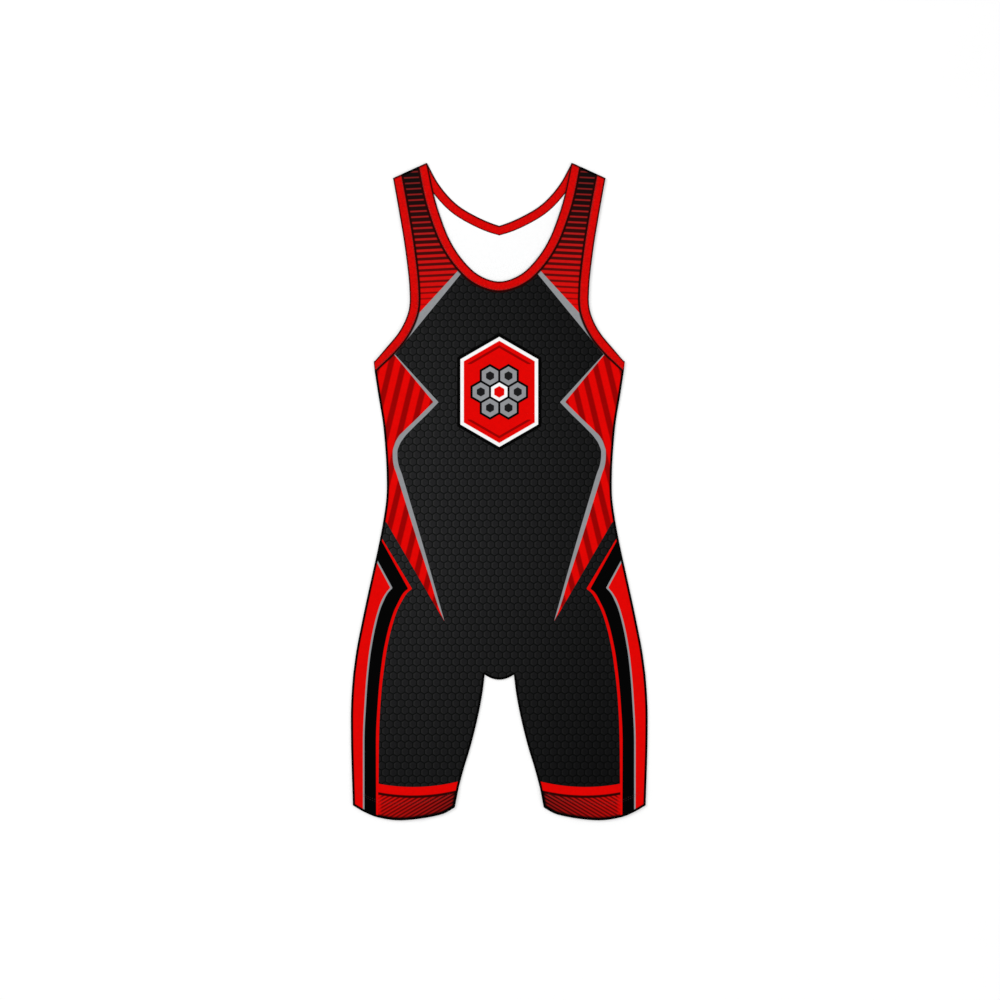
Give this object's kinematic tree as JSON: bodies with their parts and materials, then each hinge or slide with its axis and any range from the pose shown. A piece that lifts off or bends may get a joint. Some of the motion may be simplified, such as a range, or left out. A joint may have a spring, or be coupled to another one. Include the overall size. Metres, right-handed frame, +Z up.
{
  "type": "wrestling singlet",
  "caption": "Sleeveless one-piece wrestling singlet with scooped neck, deep armholes and mid-thigh legs, laid flat with its front up.",
  "frame": {"origin": "under the middle of the flat garment, on the surface it lies on", "axes": "+Y from the leg hems to the shoulders, +X to the right as the front is seen from above, +Z up out of the front"},
  "size_m": [0.3856, 0.8549, 0.0035],
  "materials": {
    "knit": "smooth stretch knit with printed red, grey and black colour blocks",
    "binding": "satin stretch binding"
  },
  "bodies": {
    "root": {"back_panel": "knit", "front_panel": "knit", "neck_binding": "binding", "armhole_binding_left": "binding", "armhole_binding_right": "binding"}
  },
  "joints": []
}
